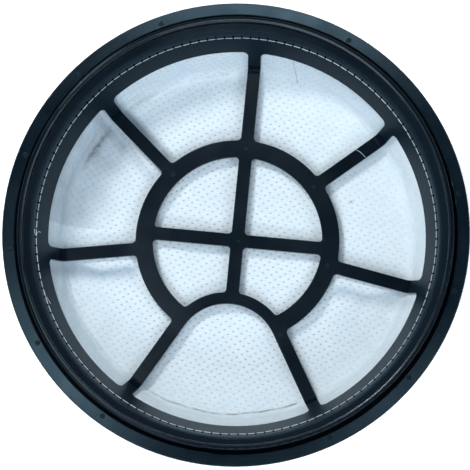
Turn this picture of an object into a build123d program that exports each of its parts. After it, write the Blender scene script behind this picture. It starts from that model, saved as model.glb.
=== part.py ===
from build123d import *
import math
import os

# Round dish filter for a drum vacuum cleaner: a moulded support frame with a sewn-on cloth dish.
# Sizes are in millimetres and degrees. The part lies on its cloth with the rim up.
# z = 0 is the underside of the cloth, +Z is the axis, +Y points along the spoke opposite the wide window.

# Rim
rim_diameter = 305.0
flange_thickness = 2.5
flange_edge_chamfer = 0.5
flange_width = 10.4
collar_wall = 3.6
collar_height = 7.0
collar_outer_round = 1.6
collar_inner_round = 1.0
groove_width = 1.8
groove_depth = 1.3
groove_lip_round = 1.0

# Sloping step inside the collar, and the tapered wall below it
step_width = 5.1
step_slope = 50.0
shoulder_radius = 8.0
shoulder_drop = 4.5
wall_draft = 23.35
wall_thickness = 2.0
corner_radius = 4.0

# Basket of bars
basket_depth = 42.0
bar_thickness = 2.5
upper_spoke_angle = 49.2
side_spoke_angle = 100.0
lower_spoke_angle = 150.0
spoke_width = 8.5
ring_diameter = 125.1
ring_width = 11.5
cross_bar_width = 8.6
bell_radius = 34.2
bell_bar_width = 7.7
ring_corner = 2.8
cross_corner = 2.4
window_top_drop = 24.2
window_top_corner = 4.0

# Cloth dish
cloth_thickness = 2.0
cloth_clearance = 0.15
cloth_slack = 4.0
hem_gap = 1.0

# Seam through the wall and the cloth
stitch_count = 144
stitch_gap = 0.9
stitch_drop = 9.3
thread_diameter = 0.75
thread_clearance = 0.04
thread_sides = 4

# Heights
cloth_top = cloth_thickness
bar_bottom = cloth_top + cloth_slack
bar_top = bar_bottom + bar_thickness
flange_top = bar_top + basket_depth
flange_bottom = flange_top - flange_thickness
groove_floor = flange_top - groove_depth
collar_top = flange_top + collar_height
shoulder_z = flange_top - shoulder_drop
window_top = flange_top - window_top_drop
stitch_z = flange_top - stitch_drop

# Radii
rim_radius = rim_diameter / 2
collar_radius = rim_radius - flange_width
bore_radius = collar_radius - collar_wall
shoulder_r = bore_radius - step_width
ring_outer = (ring_diameter + ring_width) / 2
ring_inner = (ring_diameter - ring_width) / 2
outer_corner_radius = corner_radius + wall_thickness

# The sloping step and the tapered wall: slope from upright, and thickness measured level
step_taper = math.tan(math.radians(step_slope))
step_across = wall_thickness / math.cos(math.radians(step_slope))
taper = math.tan(math.radians(wall_draft))
wall_across = wall_thickness / math.cos(math.radians(wall_draft))
cloth_across = cloth_thickness / math.cos(math.radians(wall_draft))
outer_shoulder_z = shoulder_z - (step_across - wall_across) / (step_taper - taper)

# The spokes to each side of the one along +Y, which the windows lie between
spoke_angles = (0.0, upper_spoke_angle, side_spoke_angle, lower_spoke_angle)
wide_half_angle = 180.0 - lower_spoke_angle


def step_inside(z):
    """Radius of the sloping step's inner face at height z."""
    return shoulder_r + (z - shoulder_z) * step_taper


def step_outside(z):
    """Radius of the sloping step's outer face at height z."""
    return step_inside(z) + step_across


def wall_inside(z):
    """Radius of the tapered wall's inner face at height z."""
    return shoulder_r - (shoulder_z - z) * taper


def wall_outside(z):
    """Radius of the tapered wall's outer face at height z."""
    return wall_inside(z) + wall_across


def cloth_inside(z):
    """Radius of the cloth wall's inner face at height z."""
    return wall_outside(z) + cloth_clearance


def cloth_outside(z):
    """Radius of the cloth wall's outer face at height z."""
    return cloth_inside(z) + cloth_across


def at(face, point):
    """The corner of a section that lies nearest to a point given as radius and height."""
    return face.vertices().sort_by_distance((point[0], point[1], 0))[0]


def turned(points, rounds, chamfers):
    """A section given as (radius, height) points, with its corners eased, turned about the Z axis."""
    section = make_face(Polyline(*points, close=True))
    for point, radius in rounds:
        section = fillet(at(section, point), radius)
    for point, length in chamfers:
        section = chamfer(at(section, point), length)
    return revolve(Plane.XZ * section, Axis.Z)


def basket_shell():
    """The moulding before its windows are cut: flange, groove, collar, step, tapered wall and floor."""
    collar_lip = (bore_radius, collar_top)
    step_top = (bore_radius, shoulder_z + step_width / step_taper)
    shoulder = (shoulder_r, shoulder_z)
    bend_inside = (wall_inside(bar_top), bar_top)
    bend_outside = (wall_outside(bar_bottom), bar_bottom)
    outer_shoulder = (wall_outside(outer_shoulder_z), outer_shoulder_z)
    step_root = (step_outside(flange_bottom), flange_bottom)
    rim_lower = (rim_radius, flange_bottom)
    rim_upper = (rim_radius, flange_top)
    groove_lip = (collar_radius + groove_width, flange_top)
    groove_outer = (collar_radius + groove_width, groove_floor)
    collar_foot = (collar_radius, groove_floor)
    collar_crown = (collar_radius, collar_top)
    points = [
        collar_lip, step_top, shoulder, bend_inside, (0, bar_top), (0, bar_bottom), bend_outside,
        outer_shoulder, step_root, rim_lower, rim_upper, groove_lip, groove_outer, collar_foot,
        collar_crown,
    ]
    rounds = [
        (shoulder, shoulder_radius),
        (bend_inside, corner_radius),
        (bend_outside, outer_corner_radius),
        (groove_lip, groove_lip_round),
        (collar_crown, collar_outer_round),
        (collar_lip, collar_inner_round),
    ]
    chamfers = [
        (rim_lower, flange_edge_chamfer),
        (rim_upper, flange_edge_chamfer),
    ]
    return turned(points, rounds, chamfers)


def gap_between_spokes(half_angle):
    """Plan of the wedge between the facing edges of two spokes, opening along +X."""
    half = math.radians(half_angle)
    apex = spoke_width / 2 / math.sin(half)
    far_x = apex + 2 * rim_radius * math.cos(half)
    far_y = 2 * rim_radius * math.sin(half)
    return make_face(Polyline((apex, 0), (far_x, far_y), (far_x, -far_y), close=True))


def window_through_floor(half_angle, is_wide):
    """Plan of an outer window: from the ring, or from the bell arch, out past the wall."""
    plan = gap_between_spokes(half_angle)
    if is_wide:
        plan = fillet(plan.vertices().sort_by_distance((0, 0, 0))[0], bell_radius)
        return plan & Circle(collar_radius)
    plan = (plan & Circle(collar_radius)) - Circle(ring_outer)
    return fillet(plan.vertices().sort_by_distance((0, 0, 0))[:2], ring_corner)


def window_through_wall(half_angle):
    """The part of an outer window that rises up the wall, with its two upper corners rounded."""
    inner_reach = (ring_outer + wall_inside(bar_top)) / 2
    plan = (gap_between_spokes(half_angle) & Circle(collar_radius)) - Circle(inner_reach)
    cutter = extrude(plan, window_top - bar_bottom)
    upper_edges = cutter.edges().filter_by(GeomType.LINE).group_by(Axis.Z)[-1]
    return fillet(upper_edges, window_top_corner)


def outer_window(angle, half_angle, is_wide):
    """One window between two spokes, cut through the floor and up the wall."""
    floor_part = extrude(window_through_floor(half_angle, is_wide), bar_thickness)
    return Pos(0, 0, bar_bottom) * Rot(0, 0, angle) * (floor_part + window_through_wall(half_angle))


def inner_windows():
    """The four windows inside the ring, parted by the cross and closed below by the bell arch."""
    half = math.sin(math.radians(wide_half_angle))
    bell_centre = (spoke_width / 2 + bell_radius) / half
    plan = Circle(ring_inner) - Rectangle(cross_bar_width, ring_diameter)
    plan -= Rectangle(ring_diameter, cross_bar_width)
    plan -= Pos(0, -bell_centre) * Circle(bell_radius + bell_bar_width)
    plan = fillet(plan.vertices(), cross_corner)
    return Pos(0, 0, bar_bottom) * extrude(plan, bar_thickness)


def support_frame():
    """The one-piece moulding: rim, stepped wall, seven spokes, ring, cross and bell arch."""
    frame = basket_shell()
    for near, far in zip(spoke_angles, spoke_angles[1:]):
        for side in (-1, 1):
            middle = 90.0 + side * (near + far) / 2
            frame -= outer_window(middle, (far - near) / 2, False)
    frame -= outer_window(-90.0, wide_half_angle, True)
    return frame - inner_windows()


def filter_cloth():
    """The cloth dish: a flat floor slack below the bars and a wall that wraps the frame up to the seam."""
    hem_z = outer_shoulder_z - hem_gap
    corner_inside = (cloth_inside(cloth_top), cloth_top)
    corner_outside = (cloth_outside(0), 0)
    points = [
        (0, 0), corner_outside, (cloth_outside(hem_z), hem_z), (cloth_inside(hem_z), hem_z),
        corner_inside, (0, cloth_top),
    ]
    rounds = [
        (corner_inside, outer_corner_radius),
        (corner_outside, outer_corner_radius + cloth_thickness),
    ]
    return turned(points, rounds, [])


def stitch_row(surface_radius, outward):
    """A ring of stitches lying on the wall, on its inside (outward -1) or its outside (outward 1)."""
    draft = math.radians(wall_draft)
    stand_off = thread_diameter / 2 + thread_clearance
    centre_r = surface_radius + outward * stand_off * math.cos(draft)
    centre_z = stitch_z - outward * stand_off * math.sin(draft)
    length = 2 * math.pi * centre_r / stitch_count - stitch_gap
    across = Plane(origin=(centre_r, 0, centre_z), x_dir=(1, 0, 0), z_dir=(0, 1, 0))
    stitch = extrude(across * RegularPolygon(thread_diameter / 2, thread_sides), length / 2, both=True)
    return [Rot(0, 0, 360.0 * n / stitch_count) * stitch for n in range(stitch_count)]


def seam_thread():
    """The sewing thread that holds the cloth to the wall, seen as stitches on both sides."""
    inner_row = stitch_row(wall_inside(stitch_z), -1)
    outer_row = stitch_row(cloth_outside(stitch_z), 1)
    return Compound(children=inner_row + outer_row)


os.makedirs("parts", exist_ok=True)
export_step(support_frame(), "parts/support_frame.step")
export_step(filter_cloth(), "parts/filter_cloth.step")
export_step(seam_thread(), "parts/seam_thread.step")
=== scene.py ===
import math

import bpy
import numpy as np
from mathutils import Matrix, Vector


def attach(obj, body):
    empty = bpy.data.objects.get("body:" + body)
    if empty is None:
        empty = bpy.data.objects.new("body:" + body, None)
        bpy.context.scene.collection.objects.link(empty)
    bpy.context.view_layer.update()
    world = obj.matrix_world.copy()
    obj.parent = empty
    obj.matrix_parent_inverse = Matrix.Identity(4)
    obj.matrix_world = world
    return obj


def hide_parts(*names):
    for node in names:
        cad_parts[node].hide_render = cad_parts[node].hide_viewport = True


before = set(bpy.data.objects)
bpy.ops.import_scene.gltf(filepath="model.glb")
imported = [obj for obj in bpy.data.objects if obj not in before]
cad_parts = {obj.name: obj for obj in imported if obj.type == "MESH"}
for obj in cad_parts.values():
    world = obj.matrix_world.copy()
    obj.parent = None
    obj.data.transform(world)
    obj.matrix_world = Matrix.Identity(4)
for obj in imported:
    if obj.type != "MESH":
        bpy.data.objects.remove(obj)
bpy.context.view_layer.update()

MM = 0.001

# Sizes of the solids that the pieces are fitted to, in millimetres and degrees
CLOTH_T = 2.0
BAR_TOP = 8.5
FLANGE_TOP = 50.5
SHOULDER_R = 133.4
SHOULDER_Z = 46.0
DRAFT = math.radians(23.35)
WALL_T = 2.0
CLOTH_GAP = 0.15
HEM_Z = 43.77
CORNER_R = 6.0
SPOKES = (0.0, 49.2, 100.0, 150.0)
SPOKE_W = 8.5
RING_R = 62.55
RING_W = 11.5
CROSS_W = 8.6
BELL_R = 34.2
BELL_W = 7.7
STITCHES = 144
WINDOW_TOP = 26.3
STITCH_Z = 41.2

TAPER = math.tan(DRAFT)
WALL_ACROSS = WALL_T / math.cos(DRAFT)
CLOTH_ACROSS = CLOTH_T / math.cos(DRAFT)


def wall_inside(z):
    return SHOULDER_R - (SHOULDER_Z - z) * TAPER


def cloth_inside(z):
    return wall_inside(z) + WALL_ACROSS + CLOTH_GAP


def cloth_outside(z):
    return cloth_inside(z) + CLOTH_ACROSS


# Small helpers

def smooth(x, low, high):
    """Smooth step from 0 at low to 1 at high."""
    t = np.clip((x - low) / (high - low), 0.0, 1.0)
    return t * t * (3.0 - 2.0 * t)


def waves(x, y, scale, seed, octaves=3):
    """Soft repeatable noise from a few crossing sine waves, about -1 to 1."""
    rng = np.random.default_rng(seed)
    total = np.zeros_like(x)
    weight = 0.0
    for octave in range(octaves):
        for _ in range(4):
            angle, phase = rng.uniform(0.0, 2.0 * math.pi, 2)
            stretch = rng.uniform(0.7, 1.4)
            k = 2.0 * math.pi / scale * stretch * 1.9 ** octave
            gain = 0.55 ** octave
            total += gain * np.sin(k * (x * math.cos(angle) + y * math.sin(angle)) + phase)
            weight += gain * gain
    return total / math.sqrt(weight) / 1.6


def new_mesh(name, points, faces, material):
    """A smooth-shaded mesh piece from points in millimetres, riding on the part."""
    mesh = bpy.data.meshes.new(name)
    mesh.from_pydata((np.asarray(points, float) * MM).tolist(), [], [list(map(int, f)) for f in faces])
    mesh.update()
    mesh.validate()
    mesh.polygons.foreach_set("use_smooth", [True] * len(mesh.polygons))
    obj = bpy.data.objects.new(name, mesh)
    bpy.context.scene.collection.objects.link(obj)
    obj.data.materials.append(material)
    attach(obj, "root")
    return obj


class Nodes:
    """Short-hand for building one material's node tree."""

    def __init__(self, name):
        self.material = bpy.data.materials.new(name)
        self.material.use_nodes = True
        self.tree = self.material.node_tree
        self.shader = self.tree.nodes["Principled BSDF"]

    def add(self, kind, **settings):
        node = self.tree.nodes.new(kind)
        for key, value in settings.items():
            setattr(node, key, value)
        return node

    def link(self, source, target):
        self.tree.links.new(source, target)

    def put(self, value, socket):
        """Feed a socket from another one, or set it to a plain value."""
        if isinstance(value, bpy.types.NodeSocket):
            self.link(value, socket)
        else:
            socket.default_value = value

    def attribute(self, name):
        return self.add("ShaderNodeAttribute", attribute_name=name).outputs["Fac"]

    def noise(self, coords, scale, detail, roughness):
        node = self.add("ShaderNodeTexNoise")
        node.inputs["Scale"].default_value = scale
        node.inputs["Detail"].default_value = detail
        node.inputs["Roughness"].default_value = roughness
        self.link(coords, node.inputs["Vector"])
        return node.outputs["Fac"]

    def remap(self, value, low, high, to_low, to_high):
        node = self.add("ShaderNodeMapRange")
        for name, number in (("From Min", low), ("From Max", high), ("To Min", to_low), ("To Max", to_high)):
            node.inputs[name].default_value = number
        self.link(value, node.inputs["Value"])
        return node.outputs["Result"]

    def mix(self, factor, first, second):
        """Mix two colours; each may be a socket or a plain colour."""
        node = self.add("ShaderNodeMix", data_type="RGBA")
        for value, socket in ((factor, node.inputs[0]), (first, node.inputs[6]), (second, node.inputs[7])):
            self.put(value, socket)
        return node.outputs[2]

    def math(self, operation, first, second):
        node = self.add("ShaderNodeMath", operation=operation)
        self.put(first, node.inputs[0])
        self.put(second, node.inputs[1])
        return node.outputs[0]

    def band(self, value, rise, fall):
        """1 between two limits and 0 outside them, each limit given as the two values it fades between."""
        return self.math("MULTIPLY", self.remap(value, *rise, 0.0, 1.0), self.remap(value, *fall, 1.0, 0.0))

    def scaled(self, value, mask, amount):
        """A value that is multiplied by an amount where the mask is 1, and left alone where it is 0."""
        return self.math("MULTIPLY", value, self.remap(mask, 0.0, 1.0, 1.0, amount))

    def bump(self, height, strength, distance):
        node = self.add("ShaderNodeBump")
        node.inputs["Strength"].default_value = strength
        node.inputs["Distance"].default_value = distance
        self.link(height, node.inputs["Height"])
        self.link(node.outputs["Normal"], self.shader.inputs["Normal"])
        return node


def object_coords(nodes):
    return nodes.add("ShaderNodeTexCoord").outputs["Object"]


def plastic_material():
    """Satin black moulded plastic with a faint grain, dull patches, a little pale dust, lighter bluish
    streaks on the wall that are partly a painted sheen, and painted shade in the groove at the collar's
    foot.

    Its gloss and tint change from place to place. Places are radii and heights in metres."""
    n = Nodes("black_plastic")
    where = object_coords(n)
    patches = n.noise(where, 38.0, 4.0, 0.6)
    grain = n.noise(where, 2600.0, 2.0, 0.5)
    specks = n.noise(where, 900.0, 2.0, 0.6)
    place = n.add("ShaderNodeSeparateXYZ")
    n.link(where, place.inputs["Vector"])
    x, y, z = (place.outputs[axis] for axis in "XYZ")
    around = n.add("ShaderNodeCombineXYZ")
    n.link(n.math("ARCTAN2", y, x), around.inputs["X"])
    n.link(z, around.inputs["Y"])
    drawn = n.noise(around.outputs["Vector"], 160.0, 2.0, 0.6)
    level = n.add("ShaderNodeCombineXYZ")
    n.link(x, level.inputs["X"])
    n.link(y, level.inputs["Y"])
    length = n.add("ShaderNodeVectorMath", operation="LENGTH")
    n.link(level.outputs["Vector"], length.inputs[0])
    radius = length.outputs["Value"]

    on_wall = n.band(z, (0.010, 0.014), (0.046, 0.048))
    below_shoulder = n.band(z, (0.0415, 0.0430), (0.0465, 0.0475))
    bend = n.band(z, (0.00855, 0.0087), (0.012, 0.014))
    on_bead = n.band(radius, (0.1380, 0.1384), (0.1396, 0.1400))
    collar_outside = n.band(radius, (0.1396, 0.1404), (0.1434, 0.1440))
    on_flange = n.remap(radius, 0.1436, 0.1442, 0.0, 1.0)
    # Painted shade: the groove at the collar's foot is drawn near black and its gloss is cut.
    groove_dark = 0.85
    sunk = n.remap(z, 0.0500, 0.0506, groove_dark, 0.0)
    in_groove = n.math("MULTIPLY", n.band(radius, (0.1416, 0.1421), (0.1436, 0.1441)), sunk)
    bar_level = n.remap(z, 0.0086, 0.0088, 1.0, 0.0)
    on_spokes = n.math("MULTIPLY", n.remap(radius, 0.070, 0.080, 0.0, 1.0), bar_level)

    plain = n.mix(n.remap(patches, 0.35, 0.65, 0.0, 1.0),
                  (0.0020, 0.0056, 0.0105, 1), (0.0030, 0.0076, 0.0135, 1))
    # On the wall the colour is streaky, lighter and bluer: moulding streaks, and a painted sheen standing in
    # for the bluish reflection of the cloth.
    streaks_and_sheen = n.mix(n.remap(drawn, 0.35, 0.70, 0.0, 1.0),
                    (0.0024, 0.0074, 0.0135, 1), (0.0044, 0.0135, 0.0225, 1))
    # Pale dust specks on the plastic.
    dust_and_shade = n.remap(specks, 0.71, 0.80, 0.0, 0.35)
    colour = n.mix(dust_and_shade, n.mix(on_wall, plain, streaks_and_sheen), (0.045, 0.055, 0.065, 1))
    # Painted shade in the groove at the collar's foot.
    n.link(n.mix(in_groove, colour, (0.0002, 0.0004, 0.0006, 1)), n.shader.inputs["Base Color"])

    rough = n.math("ADD", n.remap(patches, 0.3, 0.7, 0.14, 0.21), n.remap(on_wall, 0.0, 1.0, 0.0, 0.14))
    n.link(rough, n.shader.inputs["Roughness"])
    n.shader.inputs["IOR"].default_value = 1.49
    tint = n.mix(on_flange, (0.72, 0.88, 1.0, 1), FLANGE_TINT)
    n.link(n.mix(on_wall, tint, (0.50, 0.76, 1.0, 1)), n.shader.inputs["Specular Tint"])

    shade = n.add("ShaderNodeAmbientOcclusion", samples=6)
    shade.inputs["Distance"].default_value = 0.003
    open_gloss = n.remap(shade.outputs["AO"], 0.45, 0.95, 0.03, 0.38)
    gloss = n.mix(on_wall, open_gloss, (0.23, 0.23, 0.23, 1))
    for mask, amount in ((bend, 0.2), (on_flange, 1.22), (collar_outside, 0.28), (below_shoulder, 3.0),
                         (on_spokes, 0.43), (on_bead, 1.9)):
        gloss = n.scaled(gloss, mask, amount)
    gloss = n.math("MULTIPLY", gloss, n.remap(in_groove, 0.0, groove_dark, 1.0, 0.3))
    n.shader.inputs["Specular IOR Level"].default_value = 0.25
    n.link(gloss, n.shader.inputs["Specular IOR Level"])

    eased = n.add("ShaderNodeBevel", samples=4)
    eased.inputs["Radius"].default_value = 0.0005
    n.link(eased.outputs["Normal"], n.bump(grain, 0.12, 0.00004).inputs["Normal"])
    return n.material


def emboss_dots(n):
    """1 inside each oblong emboss dot and 0 between, from the dot-row coordinates stored on the cloth."""
    from_middle = []
    for name in ("row_u", "row_v"):
        from_middle.append(n.math("SUBTRACT", n.math("FRACT", n.attribute(name), 0.0), 0.5))
    square = []
    for axis, reach in ((0, 1.00), (1, 0.60)):
        first = n.math("MULTIPLY", from_middle[0], float(DOT_A[axis]) / reach)
        second = n.math("MULTIPLY", from_middle[1], float(DOT_B[axis]) / reach)
        square.append(n.math("POWER", n.math("ABSOLUTE", n.math("ADD", first, second), 0.0), 2.0))
    return n.remap(n.math("ADD", square[0], square[1]), 0.35, 1.1, 1.0, 0.0)


def cloth_material():
    """Bluish white bonded fibre cloth: fine fibres, cloudy density, emboss dots, a few smudges, and painted
    shade and light: bluish grey shade beside the bars, in folds and over one panel, a dark line along the
    crease and a pale highlight along one fold.
    """
    n = Nodes("white_cloth")
    where = object_coords(n)
    cloud = n.noise(where, 55.0, 4.0, 0.6)
    fibre = n.noise(where, 1500.0, 3.0, 0.65)
    lie = n.add("ShaderNodeMapping")
    lie.inputs["Rotation"].default_value = (0.0, 0.0, -0.10)
    lie.inputs["Scale"].default_value = (0.38, 1.0, 1.0)
    n.link(where, lie.inputs["Vector"])
    streak = n.noise(lie.outputs["Vector"], 620.0, 3.0, 0.6)

    colour = n.mix(n.remap(cloud, 0.3, 0.7, 0.0, 1.0), (0.73, 0.84, 0.91, 1), (0.79, 0.885, 0.935, 1))
    # Painted shade: bluish grey beside the bars, in folds, over one panel and outside the ring.
    colour = n.mix(n.attribute("dust_and_shade"), colour, (0.20, 0.28, 0.36, 1))
    # Grey stains along the crease and in a few specks, and a broad painted shade over one panel.
    ragged = n.remap(n.noise(where, 260.0, 4.0, 0.7), 0.3, 0.65, 0.35, 1.15)
    colour = n.mix(n.math("MULTIPLY", n.attribute("stain_and_shade"), ragged), colour, (0.11, 0.115, 0.115, 1))
    pressed = n.math("MULTIPLY", n.attribute("dot"), n.remap(cloud, 0.35, 0.65, 0.75, 1.15))
    colour = n.mix(n.math("MULTIPLY", emboss_dots(n), pressed), colour, (0.29, 0.41, 0.53, 1))
    # Painted shade: a thin dark line along the crease.
    line = n.remap(n.math("ABSOLUTE", n.attribute("crease_off"), 0.0), 0.20, 0.85, 1.0, 0.0)
    colour = n.mix(n.math("MULTIPLY", line, n.attribute("crease")), colour, (0.16, 0.18, 0.19, 1))
    # Painted highlight: a pale line along the raised fold.
    colour = n.mix(n.attribute("pale"), colour, (0.90, 0.955, 0.985, 1))
    colour = n.mix(n.remap(streak, 0.42, 0.68, 0.0, 0.27), colour, (0.52, 0.63, 0.73, 1))
    n.link(colour, n.shader.inputs["Base Color"])
    n.shader.inputs["Roughness"].default_value = 0.85
    n.shader.inputs["Specular IOR Level"].default_value = 0.25
    n.shader.inputs["Sheen Weight"].default_value = 0.15
    n.bump(fibre, 0.25, 0.00012)
    return n.material


def thread_material():
    """Bluish white twisted sewing thread."""
    n = Nodes("white_thread")
    where = object_coords(n)
    fibre = n.noise(where, 3200.0, 3.0, 0.6)
    tone = n.noise(where, 180.0, 2.0, 0.5)
    n.link(n.mix(tone, (0.48, 0.58, 0.63, 1), (0.70, 0.80, 0.85, 1)), n.shader.inputs["Base Color"])
    n.shader.inputs["Roughness"].default_value = 0.7
    n.bump(fibre, 0.3, 0.00008)
    return n.material


def dark_material(name, colour, roughness, gloss=0.0):
    """A plain dark surface with a slightly uneven tone."""
    n = Nodes(name)
    tone = n.noise(object_coords(n), 700.0, 2.0, 0.5)
    n.link(n.mix(tone, tuple(0.7 * c for c in colour) + (1,), colour + (1,)), n.shader.inputs["Base Color"])
    n.shader.inputs["Roughness"].default_value = roughness
    n.shader.inputs["Specular IOR Level"].default_value = gloss
    n.shader.inputs["Specular Tint"].default_value = FLANGE_TINT
    return n.material


# Tint of the flange's reflections, and of the marks on it
FLANGE_TINT = (0.46, 0.79, 1.0, 1)

# Spacing of the emboss dots along their two rows, and how far the rows are turned
DOT_A = np.array((3.41, 1.94))
DOT_B = np.array((2.34, -3.35))
DOT_TURN = math.radians(5.57)
DOT_SPIN = np.array(((math.cos(DOT_TURN), -math.sin(DOT_TURN)), (math.sin(DOT_TURN), math.cos(DOT_TURN))))
DOT_GRID = DOT_SPIN @ np.stack((DOT_A, DOT_B), 1)

PLASTIC = plastic_material()
CLOTH = cloth_material()
THREAD = thread_material()
# Near black discs at the needle holes: painted shade inside the holes.
HOLE = dark_material("needle_hole", (0.002, 0.002, 0.003), 0.9)
MARK = dark_material("pin_mark", (0.003, 0.008, 0.015), 0.30, 0.34)
HAIR = dark_material("dark_fibre", (0.20, 0.21, 0.22), 0.7)


# Support frame: the moulding itself, its edges eased by the material

def dress_frame():
    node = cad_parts["support_frame"]
    node.data.materials.clear()
    node.data.materials.append(PLASTIC)


# Cloth dish

ARC_ANGLE = math.pi / 2 - DRAFT
TANGENT = CORNER_R * math.tan(ARC_ANGLE / 2)
FLOOR_R = cloth_inside(CLOTH_T) - TANGENT
ARC_LENGTH = CORNER_R * ARC_ANGLE
ARC_END = FLOOR_R + ARC_LENGTH
SPREAD_END = ARC_END + (HEM_Z - CLOTH_T) / math.cos(DRAFT) - TANGENT
OUTER_STEPS = 288
OUTER_DOT = 0.35


def dish_section(s, inset):
    """Radius and height of the dish at a distance s from its middle, measured along the cloth.

    inset 0 is the inner face, and a negative inset lies outside it."""
    arc = np.clip((s - FLOOR_R) / CORNER_R, 0.0, ARC_ANGLE)
    along = np.clip(s - ARC_END, 0.0, None)
    r = np.minimum(s, FLOOR_R) + CORNER_R * np.sin(arc) + along * math.sin(DRAFT)
    z = CLOTH_T + CORNER_R * (1.0 - np.cos(arc)) + along * math.cos(DRAFT)
    return r - np.sin(arc) * inset, z + np.cos(arc) * inset


def bar_distance(x, y):
    """Distance in plan from a point to the nearest bar's edge, negative under a bar."""
    rho = np.hypot(x, y)
    gap = np.abs(rho - RING_R) - RING_W / 2
    half = math.radians(180.0 - SPOKES[-1])
    bell_y = -(SPOKE_W / 2 + BELL_R) / math.sin(half)
    in_wide = (y < 0) & (np.abs(np.arctan2(x, -y)) < half)
    gap = np.where(in_wide, 1e3, gap)
    for side in (-1, 1):
        for angle in SPOKES:
            a = math.radians(90.0 + side * angle)
            along = x * math.cos(a) + y * math.sin(a)
            off = np.abs(-x * math.sin(a) + y * math.cos(a)) - SPOKE_W / 2
            gap = np.minimum(gap, np.where(along > RING_R - 8.0, off, 1e3))
    upright = np.maximum(np.abs(x) - CROSS_W / 2, np.maximum(y - RING_R, bell_y + BELL_R - y))
    level = np.maximum(np.abs(y) - CROSS_W / 2, np.abs(x) - RING_R)
    bell = np.abs(np.hypot(x, y - bell_y) - BELL_R - BELL_W / 2) - BELL_W / 2
    bell = np.where(y > bell_y + BELL_R * 0.45, bell, 1e3)
    return np.minimum(np.minimum(gap, bell), np.minimum(upright, level))


def lattice(reach):
    """Points, dot depth and quads of a grid that is tight around each emboss dot, out to a radius."""
    a, b = DOT_GRID.T
    steps = np.array((0.0, 0.355, 0.5, 0.645))
    deep = np.array((0.0, 0.28, 1.0, 0.28))
    count = int(reach / 3.0)
    line = (np.arange(-count, count)[:, None] + steps).ravel()
    depth = np.tile(deep, 2 * count)
    u, v = np.meshgrid(line, line, indexing="ij")
    x = u * a[0] + v * b[0]
    y = u * a[1] + v * b[1]
    pit = np.outer(depth, depth)
    inside = np.hypot(x, y) < reach
    quad = inside[:-1, :-1] & inside[1:, :-1] & inside[:-1, 1:] & inside[1:, 1:]
    index = np.arange(x.size).reshape(x.shape)
    i, j = np.nonzero(quad)
    quads = np.stack((index[i, j], index[i, j + 1], index[i + 1, j + 1], index[i + 1, j]), 1)
    used, renumbered = np.unique(quads, return_inverse=True)
    return x.ravel()[used], y.ravel()[used], pit.ravel()[used], renumbered.reshape(quads.shape)


def outer_loop(quads):
    """The boundary of a patch of quads as one ordered loop of point numbers."""
    edges = np.concatenate([quads[:, (k, (k + 1) % 4)] for k in range(4)])
    seen = set(map(tuple, edges.tolist()))
    follow = {p: q for p, q in seen if (q, p) not in seen}
    start = next(iter(follow))
    loop = [start]
    while follow[loop[-1]] != start:
        loop.append(follow[loop[-1]])
    return loop


def side_fold(x, y):
    """0 on the cloth that clings to the two side spokes, 1 where it has fallen slack below them."""
    a = math.radians(SPOKES[2])
    along = np.abs(x) * math.sin(a) + y * math.cos(a)
    below = np.abs(x) * math.cos(a) - y * math.sin(a) - SPOKE_W / 2
    level = 6.0 * (1.0 - smooth(along, 90.0, FLOOR_R + 2.0)) + 0.8 * waves(x, y, 34.0, 17)
    clings = (1.0 - smooth(below, level, level + 7.0)) * smooth(along, RING_R, RING_R + 10.0)
    return 1.0 - clings * smooth(below, -6.0, -2.0)


def hold(x, y):
    """How far the cloth is drawn up to the bars, 0 to 1: tight below the side spokes, loose beside one."""
    drawn = np.clip(0.06 + 0.10 * waves(x, y, 80.0, 41), 0.0, 1.0)
    a = math.radians(90.0 + SPOKES[1])
    along = x * math.cos(a) + y * math.sin(a)
    right = x * math.sin(a) - y * math.cos(a)
    loose = smooth(right, 0.0, 3.0) * (1.0 - smooth(right, 14.0, 20.0))
    drawn = drawn * (1.0 - loose * smooth(along, RING_R, RING_R + 12.0))
    return np.maximum(drawn, 1.0 - side_fold(x, y))


def cloth_body(x, y):
    """How far the cloth stands off its plain dish shape, for points given in the flat cut.

    It is drawn up a little below the bars, hangs slack between them, and is creased where its floor meets
    its wall."""
    s = np.hypot(x, y)
    turn = np.arctan2(y, x)
    r, z = dish_section(s, 0.0)
    px, py = r * np.cos(turn), r * np.sin(turn)
    clear = bar_distance(px, py)
    below_top = 1.0 - smooth(z, WINDOW_TOP - 7.0, WINDOW_TOP - 0.5)
    exposed = smooth(clear, 0.5, 6.0) * below_top
    slack = np.minimum(smooth(clear, 0.6, 9.0), side_fold(px, py))
    raised = (4.2 * hold(px, py) * (1.0 - slack) - 0.6) * (1.0 - smooth(s, FLOOR_R - 6.0, FLOOR_R + 3.5))
    on_wall = 0.9 * smooth(clear, 0.0, 9.0) * smooth(z, 6.0, 12.0) * below_top
    soft = (0.75 * waves(x, y, 46.0, 3, 2) + 0.18 * waves(x, y, 13.0, 5)) * exposed
    off = s - crease_line(turn)
    uneven = 0.65 + 0.35 * waves(np.cos(turn), np.sin(turn), 0.8, 14, 2)
    fold = pale_fold(turn)
    ridge = (0.40 + 0.45 * fold) * np.exp(-((off + 2.0) / (1.1 + 0.6 * fold)) ** 2)
    crease = (ridge - 0.85 * (1.0 - fold) * np.exp(-(off / 0.8) ** 2)) * exposed * uneven
    tucks = 0.24 * np.sin((s + 1.5 * waves(x, y, 30.0, 9)) * 2.0 * math.pi / 3.4)
    tucks = tucks * smooth(s, FLOOR_R - 4.0, FLOOR_R + 4.0) * smooth(np.abs(np.cos(turn + 0.2)), 0.2, 0.9)
    tucks = tucks * smooth(clear, 0.0, 3.0) * below_top
    return raised + on_wall + soft + crease + tucks - 0.06


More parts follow.
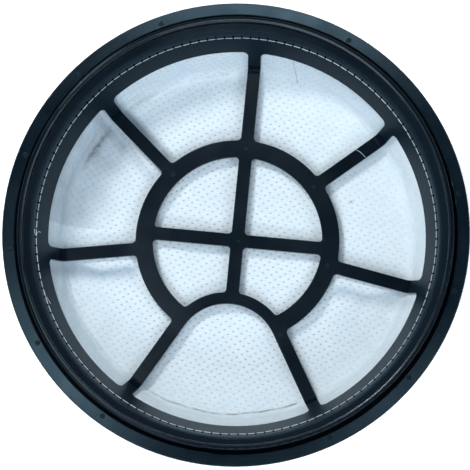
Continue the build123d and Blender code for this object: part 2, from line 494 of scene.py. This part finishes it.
def cloth_relief(x, y, pit):
    """The inner face's stand-off, with the emboss dots pressed in and fading up the wall."""
    s = np.hypot(x, y)
    pressed = 0.5 * pit * (1.0 - 0.7 * smooth(s, FLOOR_R + 1.0, FLOOR_R + 8.0))
    return np.maximum(cloth_body(x, y) - pressed, -1.7)


def crease_line(turn):
    """Distance along the cloth at which the floor is creased against the wall, round the dish."""
    c, d = np.cos(turn), np.sin(turn)
    return FLOOR_R + 2.8 + 1.0 * waves(c, d, 0.9, 8, 2) + 0.30 * waves(c, d, 0.11, 28, 2)


def pale_fold(turn):
    """1 round the part of the dish where the crease stands up as a fold with a painted pale highlight, 0
    where it is a groove.
    """
    degrees = np.degrees(turn)
    return smooth(degrees, 91.0, 97.0) * (1.0 - smooth(degrees, 122.0, 134.0))


def crease_painted_shade(x, y):
    """How dark the painted shade line along the crease is drawn round the dish: strong below the wide
    window, fading under the bars.
    """
    degrees = np.degrees(np.arctan2(y, x)) % 360.0
    clear = smooth(bar_distance(x, y), 0.0, 5.0)
    depth = np.full_like(x, 0.04)
    for low, high, dark in ((141.0, 160.0, 0.55), (241.0, 301.0, 0.70)):
        depth = depth + dark * smooth(degrees, low, low + 8.0) * (1.0 - smooth(degrees, high - 8.0, high))
    return depth * clear * np.clip(0.70 + 0.55 * waves(x, y, 14.0, 31), 0.1, 1.3)


def spot(x, y, centre, width):
    return np.exp(-((x - centre[0]) ** 2 + (y - centre[1]) ** 2) / width ** 2)


def cloth_stain_and_shade(x, y):
    """Where the cloth is soiled or painted with shade, 0 to 1, for points in the flat cut: soiled along the
    crease and in a few specks, with a broad painted shade over one panel.
    """
    s = np.hypot(x, y)
    turn = np.arctan2(y, x)
    off = s - crease_line(turn)
    degrees = np.degrees(turn)
    reach = smooth(degrees, 140.5, 146.0) * (1.0 - smooth(degrees, 153.0, 163.0))
    stain_and_shade = reach * (0.45 * np.exp(-(off / 1.7) ** 2) + 0.30 * np.exp(-((off + 1.0) / 4.5) ** 2))
    corner = smooth(degrees, 122.0, 126.0) * (1.0 - smooth(degrees, 133.0, 137.0))
    stain_and_shade = stain_and_shade + corner * 0.40 * np.exp(-((off - 1.0) / 2.5) ** 2)
    # Painted shade: a broad grey veil over the panel between the upper-left and left spokes.
    panel = smooth(degrees, 134.0, 146.0) * (1.0 - smooth(degrees, 168.0, 190.0)) * smooth(s, 80.0, 112.0)
    stain_and_shade = stain_and_shade + 0.16 * panel * (0.7 + 0.3 * waves(x, y, 18.0, 21))
    stain_and_shade = stain_and_shade + 0.8 * spot(x, y, (-21.3, 113.8), 0.8) + 0.5 * spot(x, y, (-18.5, 113.4), 0.7)
    stain_and_shade = stain_and_shade + 0.9 * spot(x, y, (73.5, 34.3), 0.7)
    return np.clip(stain_and_shade, 0.0, 1.0)


def spoke_place(x, y, degrees):
    """Distance along a spoke, and off its edges to the right and to the left as seen looking outwards."""
    a = math.radians(90.0 + degrees)
    along = x * math.cos(a) + y * math.sin(a)
    right = x * math.sin(a) - y * math.cos(a)
    return along, right - SPOKE_W / 2, -right - SPOKE_W / 2


def cloth_painted_shade(x, y):
    """Painted shade on the cloth, 0 to 1: beside the bars, in the folds below the side spokes, beside the
    upper-left spoke, over one panel and just outside the ring's upper half.
    """
    s = np.hypot(x, y)
    turn = np.arctan2(y, x)
    r = dish_section(s, 0.0)[0]
    px, py = r * np.cos(turn), r * np.sin(turn)
    patchy = 0.85 + 0.25 * waves(x, y, 30.0, 57)
    gap = np.clip(bar_distance(px, py), 0.0, None)
    # Painted shade: a faint band beside every bar.
    dust_and_shade = 0.10 * np.exp(-gap / 3.5) * np.clip(0.7 + 0.6 * waves(px, py, 60.0, 63), 0.1, 1.4)
    # Painted shadow: bands on either side of the upper-left spoke, darker on its right.
    along, right, left = spoke_place(px, py, SPOKES[1])
    reach = smooth(along, RING_R + 4.0, RING_R + 14.0)
    dust_and_shade = dust_and_shade + 0.72 * reach * smooth(right, -2.0, 0.0) * (1.0 - smooth(right, 1.0, 8.0))
    dust_and_shade = dust_and_shade + 0.30 * reach * smooth(left, 2.0, 6.0) * (1.0 - smooth(left, 6.0, 14.0))
    # Painted shade: the folds below the two side spokes.
    for degrees, amount in ((SPOKES[2], 0.74), (-SPOKES[2], 0.46)):
        along, right, left = spoke_place(px, py, degrees)
        below = left if degrees > 0.0 else right
        sag = 10.0 - 3.5 * smooth(along, 88.0, FLOOR_R + 2.0) + 0.8 * waves(x, y, 34.0, 17)
        thinner = 1.0 - 0.4 * smooth(along, FLOOR_R - 2.0, FLOOR_R + 8.0)
        band = np.exp(-((below - sag) / 4.8) ** 2) * thinner
        dust_and_shade = dust_and_shade + amount * band * smooth(along, RING_R + 4.0, RING_R + 12.0)
    # Painted shade: a broad veil over the panel between the upper-left and left spokes.
    degrees = np.degrees(turn)
    panel = smooth(degrees, 137.0, 146.0) * (1.0 - smooth(degrees, 172.0, 192.0)) * smooth(s, 74.0, 104.0)
    dust_and_shade = dust_and_shade + 0.38 * panel * (degrees > 0.0)
    # Painted shadow: a band just outside the ring's upper half.
    beyond = r - RING_R - RING_W / 2
    dust_and_shade = dust_and_shade + 0.20 * np.exp(-(beyond / 4.0) ** 2) * smooth(beyond, -2.0, 0.0) * smooth(py, 15.0, 45.0)
    return np.clip(dust_and_shade * patchy, 0.0, 1.0)


def cloth_layers(x, y):
    """The values that the cloth's material reads at each point of the inner face, by name."""
    s = np.hypot(x, y)
    turn = np.arctan2(y, x)
    off = s - crease_line(turn)
    patchy = np.clip(0.75 + 0.4 * waves(x, y, 11.0, 71), 0.0, 1.0)
    dot = 0.70 - 0.34 * smooth(s, FLOOR_R - 34.0, FLOOR_R)
    dot *= 1.0 - 0.35 * smooth(x, 10.0, 80.0) * smooth(y, -30.0, 30.0)
    dot -= (0.34 - 0.30 * smooth(y / s, 0.3, 0.7)) * smooth(s, FLOOR_R - 1.0, FLOOR_R + 5.0)
    return {
        "stain_and_shade": cloth_stain_and_shade(x, y),
        "crease_off": off,
        "crease": crease_painted_shade(x, y),
        "dust_and_shade": cloth_painted_shade(x, y),
        # Painted highlight along the raised fold.
        "pale": pale_fold(turn) * np.exp(-((off + 1.2) / 1.5) ** 2) * patchy,
        "dot": dot,
    }


def build_cloth():
    """The cloth as one closed sheet: a dotted inner face, a turned hem, and a plain outer face."""
    reach = SPREAD_END - 11.0
    x, y, pit, quads = lattice(reach)
    turn = np.arctan2(y, x)
    r, z = dish_section(np.hypot(x, y), cloth_relief(x, y, pit))
    points = [np.stack((r * np.cos(turn), r * np.sin(turn), z), 1)]
    flat = [np.stack((x, y))]
    faces = quads.tolist()
    count = len(x)

    loop = outer_loop(quads)
    loop_x, loop_y = x[loop], y[loop]
    if np.sum(loop_x * np.roll(loop_y, -1) - loop_y * np.roll(loop_x, -1)) < 0:
        loop = loop[::-1]
    angles = np.unwrap(np.arctan2(y[loop], x[loop]))
    full_turn = angles[0] + 2.0 * math.pi
    spread = np.linspace(angles[0], full_turn, len(angles), endpoint=False)
    angles = 0.9 * np.maximum.accumulate(angles) + 0.1 * spread
    previous = list(loop)

    def ring(angles, s_value, inset, follow=False):
        """Points round the dish at one distance from its middle; their numbers."""
        nonlocal count
        if follow:
            body = cloth_body(s_value * np.cos(angles), s_value * np.sin(angles))
            inset = inset + np.maximum(body, 0.0)
        r, z = dish_section(np.full(len(angles), s_value), inset)
        points.append(np.stack((r * np.cos(angles), r * np.sin(angles), z), 1))
        flat.append(s_value * np.stack((np.cos(angles), np.sin(angles))))
        first = count
        count += len(angles)
        return list(range(first, count))

    def bridge(inner, outer):
        """Quads between two rings of as many points."""
        n = len(inner)
        for k in range(n):
            m = (k + 1) % n
            faces.append((inner[k], outer[k], outer[m], inner[m]))

    for s_value in (reach + 2.0, reach + 6.0, SPREAD_END - 0.6):
        current = ring(angles, s_value, -0.06)
        bridge(previous, current)
        previous = current
    for inset in (-0.7, -1.3):
        current = ring(angles, SPREAD_END, inset)
        bridge(previous, current)
        previous = current

    # The outer face has fewer points round it, so triangles join it to the hem
    even = np.linspace(angles[0], angles[0] + 2.0 * math.pi, OUTER_STEPS, endpoint=False)
    current = ring(even, SPREAD_END - 0.6, -1.9)
    i = j = 0
    n, m = len(previous), len(even)
    hem_angles = np.append(angles, angles[0] + 2.0 * math.pi)
    outer_angles = np.append(even, angles[0] + 2.0 * math.pi)
    while i < n or j < m:
        if j >= m or (i < n and hem_angles[i + 1] <= outer_angles[j + 1]):
            faces.append((previous[i], current[j % m], previous[(i + 1) % n]))
            i += 1
        else:
            faces.append((previous[i % n], current[j], current[(j + 1) % m]))
            j += 1
    previous = current
    up_wall = np.linspace(SPREAD_END - 4.0, ARC_END, 12)
    across_floor = np.linspace(ARC_END, 3.0, 52)[1:]
    for s_value in np.concatenate((up_wall, across_floor)):
        current = ring(even, s_value, -1.94, follow=True)
        bridge(previous, current)
        previous = current
    points.append(np.array([[0.0, 0.0, CLOTH_T + 1.0]]))
    flat.append(np.zeros((2, 1)))
    for k in range(len(previous)):
        faces.append((previous[k], count, previous[(k + 1) % len(previous)]))

    points = np.concatenate(points)
    cloth = new_mesh("cloth_dish", points, faces, CLOTH)
    row_u, row_v = np.linalg.inv(DOT_GRID) @ np.concatenate(flat, 1)
    layers = {"row_u": row_u, "row_v": row_v, **cloth_layers(x, y)}
    for name, values in layers.items():
        every = np.full(len(points), OUTER_DOT if name == "dot" else 0.0, np.float32)
        every[:len(values)] = values
        layer = cloth.data.attributes.new(name, "FLOAT", "POINT")
        layer.data.foreach_set("value", every)
    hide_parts("filter_cloth")


# Seam: the gap between stitches, the radius of a ply, and how far it lies from the thread's middle

STITCH_GAP = 0.75
PLY_R = 0.20
PLY_TURN = 0.17


def stitch_strand(centre_r, sides=5, steps=11):
    """One stitch of two twisted plies, as places along, off and across the wall, its ends pulled down."""
    length = 2.0 * math.pi * centre_r / STITCHES - STITCH_GAP
    points, faces = [], []
    for strand in range(2):
        first = len(points)
        for k in range(steps):
            t = k / (steps - 1) * 2.0 - 1.0
            lift = 0.34 - 0.22 * abs(t) ** 6
            twist = 2.0 * math.pi * (1.6 * t + 0.5 * strand)
            narrow = 1.0 - 0.55 * abs(t) ** 8
            off_n = lift + PLY_TURN * math.cos(twist) * narrow
            off_w = PLY_TURN * math.sin(twist) * narrow
            ply = PLY_R * narrow
            for q in range(sides):
                around = 2.0 * math.pi * q / sides
                points.append((t * length / 2, off_n + ply * math.cos(around),
                               off_w + ply * math.sin(around)))
        for k in range(steps - 1):
            for q in range(sides):
                a = first + k * sides + q
                b = first + k * sides + (q + 1) % sides
                faces.append((a, b, b + sides, a + sides))
        faces.append(tuple(range(first + sides - 1, first - 1, -1)))
        faces.append(tuple(range(first + (steps - 1) * sides, first + steps * sides)))
    return np.array(points), faces


def build_seam():
    """The two rows of stitches, on the inside of the wall and on the outside of the cloth."""
    rng = np.random.default_rng(11)
    points, faces, count = [], [], 0
    for surface, outward in ((wall_inside(STITCH_Z), -1), (cloth_outside(STITCH_Z), 1)):
        local, local_faces = stitch_strand(surface)
        if outward > 0:
            local_faces = [face[::-1] for face in local_faces]
        normal = np.array((math.cos(DRAFT), -math.sin(DRAFT))) * outward
        down = np.array((math.sin(DRAFT), math.cos(DRAFT)))
        for k in range(STITCHES):
            lean = rng.normal(0.0, 0.035)
            along = local[:, 0]
            off_n = local[:, 1] * rng.uniform(0.9, 1.05) + 0.02
            off_w = local[:, 2] + lean * along + rng.normal(0.0, 0.05)
            r = surface + normal[0] * off_n + down[0] * off_w
            z = STITCH_Z + normal[1] * off_n + down[1] * off_w
            a = 2.0 * math.pi * k / STITCHES + along / surface
            points.append(np.stack((r * np.cos(a), r * np.sin(a), z), 1))
            faces += [tuple(i + count for i in face) for face in local_faces]
            count += len(local)
    seam = new_mesh("seam_stitches", np.concatenate(points), faces, THREAD)
    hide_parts("seam_thread")


# Needle holes, loose ends and moulding marks

def button(radius, profile, sides):
    """A low closed disc from (share of radius, height) steps, from its middle out, lying on z = 0."""
    points = [(0.0, 0.0, profile[0][1])]
    faces = []
    foot = -0.02
    for share, height in profile + ((1.0, foot),):
        for k in range(sides):
            a = 2.0 * math.pi * k / sides
            points.append((share * radius * math.cos(a), share * radius * math.sin(a), height))
    points.append((0.0, 0.0, foot))
    rings = len(profile) + 1
    for k in range(sides):
        m = (k + 1) % sides
        faces.append((0, 1 + k, 1 + m))
        for ring in range(rings - 1):
            a = 1 + ring * sides
            faces.append((a + k, a + sides + k, a + sides + m, a + m))
        last = 1 + (rings - 1) * sides
        faces.append((len(points) - 1, last + m, last + k))
    return np.array(points), faces


def build_holes():
    """The needle holes in the wall, one between each two stitches, drawn as black discs: painted shade of
    the holes.
    """
    half_width, half_height, above_seam, proud = 0.72, 1.35, 1.0, 0.13
    disc, disc_faces = button(1.0, ((0.5, 0.05), (0.9, 0.04)), 8)
    up = np.array((math.sin(DRAFT), math.cos(DRAFT)))
    inward = np.array((-math.cos(DRAFT), math.sin(DRAFT)))
    across = disc[:, 1] * half_height + above_seam
    off = disc[:, 2] + proud
    r = wall_inside(STITCH_Z) + up[0] * across + inward[0] * off
    z = STITCH_Z + up[1] * across + inward[1] * off
    points, faces = [], []
    for k in range(STITCHES):
        a = 2.0 * math.pi * (k + 0.5) / STITCHES + disc[:, 0] * half_width / wall_inside(STITCH_Z)
        faces += [tuple(i + k * len(disc) for i in face[::-1]) for face in disc_faces]
        points.append(np.stack((r * np.cos(a), r * np.sin(a), z), 1))
    new_mesh("needle_holes", np.concatenate(points), faces, HOLE)


def build_marks():
    """Shallow round pin marks on the flange and on the bars where they meet."""
    flange_r, flange_step, flange_size = 147.2, 25, 1.75
    joint_r, bell_joint_r, joint_size = 62.7, 69.3, 1.5
    disc, disc_faces = button(1.0, ((0.55, 0.05), (0.88, 0.05), (0.97, 0.03)), 20)
    places = []
    for degrees in range(flange_step, 151, flange_step):
        for side in (-1, 1):
            places.append((flange_r, 90.0 + side * degrees, FLANGE_TOP, flange_size))
    for degrees, radius in zip(SPOKES, (joint_r, joint_r, joint_r, bell_joint_r)):
        for side in (-1, 1) if degrees else (1,):
            places.append((radius, 90.0 + side * degrees, BAR_TOP, joint_size))
    places.append((0.9, -32.0, BAR_TOP, 1.1))
    points, faces = [], []
    for n, (radius, degrees, z, size) in enumerate(places):
        a = math.radians(degrees)
        centre = np.array((radius * math.cos(a), radius * math.sin(a), z))
        points.append(disc * (size, size, 1.0) + centre)
        faces += [tuple(i + n * len(disc) for i in face) for face in disc_faces]
    new_mesh("moulding_marks", np.concatenate(points), faces, MARK)


def on_cloth(x, y, lift):
    """The point of the cloth's inner face straight below a place in plan, raised a little."""
    s_steps = np.linspace(0.0, SPREAD_END, 800)
    s_value = np.interp(math.hypot(x, y), dish_section(s_steps, 0.0)[0], s_steps)
    turn = math.atan2(y, x)
    body = cloth_body(np.array([s_value * math.cos(turn)]), np.array([s_value * math.sin(turn)]))
    r, z = dish_section(np.array([s_value]), body + lift)
    return (float(r[0]) * math.cos(turn), float(r[0]) * math.sin(turn), float(z[0]))


def strand(path, radius, sides=6, steps=7):
    """A closed round thread along a smooth curve through the given points."""
    knots = [Vector(p) for p in path]
    knots = [2.0 * knots[0] - knots[1]] + knots + [2.0 * knots[-1] - knots[-2]]
    curve = []
    for a, b, c, d in zip(knots, knots[1:], knots[2:], knots[3:]):
        for k in range(steps):
            t = k / steps
            curve.append(0.5 * (2.0 * b + (c - a) * t + (2.0 * a - 5.0 * b + 4.0 * c - d) * t ** 2
                                + (3.0 * b - a - 3.0 * c + d) * t ** 3))
    curve.append(knots[-2])
    points, faces = [], []
    side = Vector((0.0, 0.0, 1.0))
    for k, point in enumerate(curve):
        along = (curve[min(k + 1, len(curve) - 1)] - curve[max(k - 1, 0)]).normalized()
        side = (side - along * side.dot(along)).normalized()
        other = along.cross(side)
        for q in range(sides):
            a = 2.0 * math.pi * q / sides
            points.append(tuple(point + radius * (math.cos(a) * side + math.sin(a) * other)))
    for k in range(len(curve) - 1):
        for q in range(sides):
            a, b = k * sides + q, k * sides + (q + 1) % sides
            faces.append((a, b, b + sides, a + sides))
    faces.append(tuple(range(sides - 1, -1, -1)))
    faces.append(tuple(range((len(curve) - 1) * sides, len(curve) * sides)))
    return points, faces


def build_loose_ends():
    """Two ends of the sewing thread on the wall, a white fibre over a spoke and a dark hair on the cloth."""
    thread_r, fibre_r, hair_r = 0.26, 0.14, 0.10
    left_end = ((-131.4, -7.4, 41.5), (-131.7, -9.7, 42.9), (-130.9, -12.7, 41.6), (-129.6, -10.1, 38.1),
                (-128.6, -10.3, 35.8))
    lower_end = ((-120.9, -49.6, 41.4), (-120.7, -51.6, 41.1), (-118.8, -53.8, 39.1), (-116.6, -56.7, 37.4))
    fibre = ((73.1, 68.9, 8.75), (76.6, 67.2, 8.95), (80.2, 64.1, 8.75))
    white = ((left_end, thread_r), (lower_end, thread_r), (fibre, fibre_r))
    hair_places = ((26.0, 125.0), (26.7, 121.6), (28.0, 118.2), (29.9, 111.5))
    hair = tuple(on_cloth(x, y, 0.12) for x, y in hair_places)
    for name, threads, material, slot in (
            ("loose_thread", white, THREAD, "white_thread"),
            ("loose_hair", ((hair, hair_r),), HAIR, "white_cloth")):
        points, faces = [], []
        for path, radius in threads:
            more, more_faces = strand(path, radius)
            faces += [tuple(i + len(points) for i in face) for face in more_faces]
            points += more
        new_mesh(name, points, faces, material)


# Camera, floor and light: the camera's sensor in millimetres, and the point it is aimed by

SENSOR_MM = 36.0
AIM = Vector((0.0, 0.0, 0.029))


def look_from(tilt, azimuth, roll, distance, focal_px, centre_px, image=470):
    """A camera above the part: tilt from straight down, towards an azimuth, rolled about its own axis."""
    back = Vector((math.sin(azimuth) * math.sin(tilt), -math.cos(azimuth) * math.sin(tilt), math.cos(tilt)))
    right = Vector((-math.sin(roll), math.cos(roll), 0.0)).cross(back).normalized()
    up = back.cross(right)
    data = bpy.data.cameras.new("camera")
    data.sensor_width = SENSOR_MM
    data.lens = focal_px * SENSOR_MM / image
    data.clip_start, data.clip_end = 0.05, 20.0
    camera = bpy.data.objects.new("camera", data)
    bpy.context.scene.collection.objects.link(camera)
    per_px = distance / focal_px
    place = AIM + back * distance
    place -= right * (centre_px[0] - (image - 1) / 2) * per_px
    place += up * (centre_px[1] - (image - 1) / 2) * per_px
    rotation = Matrix((right, up, back)).transposed().to_4x4()
    camera.matrix_world = Matrix.Translation(place) @ rotation
    bpy.context.scene.camera = camera


def area_light(name, place, target, size, watts, colour=(1.0, 1.0, 1.0)):
    """A rectangular lamp at a place, facing a target."""
    data = bpy.data.lights.new(name, "AREA")
    data.shape = "RECTANGLE"
    data.size, data.size_y = size
    data.energy = watts
    data.color = colour
    lamp = bpy.data.objects.new(name, data)
    bpy.context.scene.collection.objects.link(lamp)
    lamp.location = place
    lamp.rotation_euler = (Vector(target) - Vector(place)).to_track_quat("-Z", "Y").to_euler()


def build_floor():
    """A wide pale floor just below the part, seen as white."""
    n = Nodes("floor")
    n.shader.inputs["Roughness"].default_value = 0.9
    n.shader.inputs["Base Color"].default_value = (0.9, 0.9, 0.9, 1)
    n.shader.inputs["Emission Color"].default_value = (1.0, 1.0, 1.0, 1)
    path = n.add("ShaderNodeLightPath").outputs
    seen = n.math("MAXIMUM", path["Is Camera Ray"], path["Is Glossy Ray"])
    n.link(n.math("MULTIPLY", seen, 0.60), n.shader.inputs["Emission Strength"])
    half = 6.0
    corners = [(-half, -half, 0), (half, -half, 0), (half, half, 0), (-half, half, 0)]
    mesh = bpy.data.meshes.new("floor")
    mesh.from_pydata(corners, [], [(0, 1, 2, 3)])
    mesh.materials.append(n.material)
    floor = bpy.data.objects.new("floor", mesh)
    floor.location.z = -0.0005
    bpy.context.scene.collection.objects.link(floor)


def build_world():
    """A dim bluish room that is lighter near the floor."""
    world = bpy.data.worlds.new("world")
    bpy.context.scene.world = world
    world.use_nodes = True
    tree = world.node_tree
    background = tree.nodes["Background"]
    background.inputs["Color"].default_value = (0.66, 0.83, 1.0, 1)
    height = tree.nodes.new("ShaderNodeSeparateXYZ")
    tree.links.new(tree.nodes.new("ShaderNodeTexCoord").outputs["Generated"], height.inputs["Vector"])
    fade = tree.nodes.new("ShaderNodeMapRange")
    for name, number in (("From Min", 0.30), ("From Max", 0.62), ("To Min", 0.30), ("To Max", 0.05)):
        fade.inputs[name].default_value = number
    tree.links.new(height.outputs["Z"], fade.inputs["Value"])
    tree.links.new(fade.outputs["Result"], background.inputs["Strength"])


def build_lights():
    """Four soft lamps round the part, and three small ones overhead that the flange reflects."""
    middle = (0.0, 0.0, 0.02)
    warm, cool = (1.0, 0.98, 0.94), (0.84, 0.92, 1.0)
    area_light("key", (-0.90, 1.06, 1.60), middle, (0.34, 0.34), 22.0, warm)
    area_light("right", (1.25, -0.12, 1.28), middle, (0.8, 0.8), 8.5, cool)
    area_light("near", (0.10, -1.45, 1.15), middle, (1.3, 0.30), 10.5, cool)
    area_light("fill", (-0.56, -0.76, 1.55), middle, (0.75, 0.75), 11.5, cool)
    area_light("flange_far", (-0.07, 0.55, 1.60), (-0.07, 0.55, 0.0), (0.38, 0.10), 1.0)
    area_light("flange_left", (-0.28, 0.02, 1.60), (-0.28, 0.02, 0.0), (0.16, 0.20), 0.55)
    area_light("flange_right", (0.15, 0.01, 1.60), (0.15, 0.01, 0.0), (0.16, 0.12), 0.18)


dress_frame()
build_cloth()
build_seam()
build_holes()
build_marks()
build_loose_ends()
build_floor()
build_world()
build_lights()
look_from(math.radians(8.49), math.radians(19.28), math.radians(5.57), 1.5, 2271.7, (235.8, 235.8))
bpy.context.scene.view_settings.view_transform = "Standard"
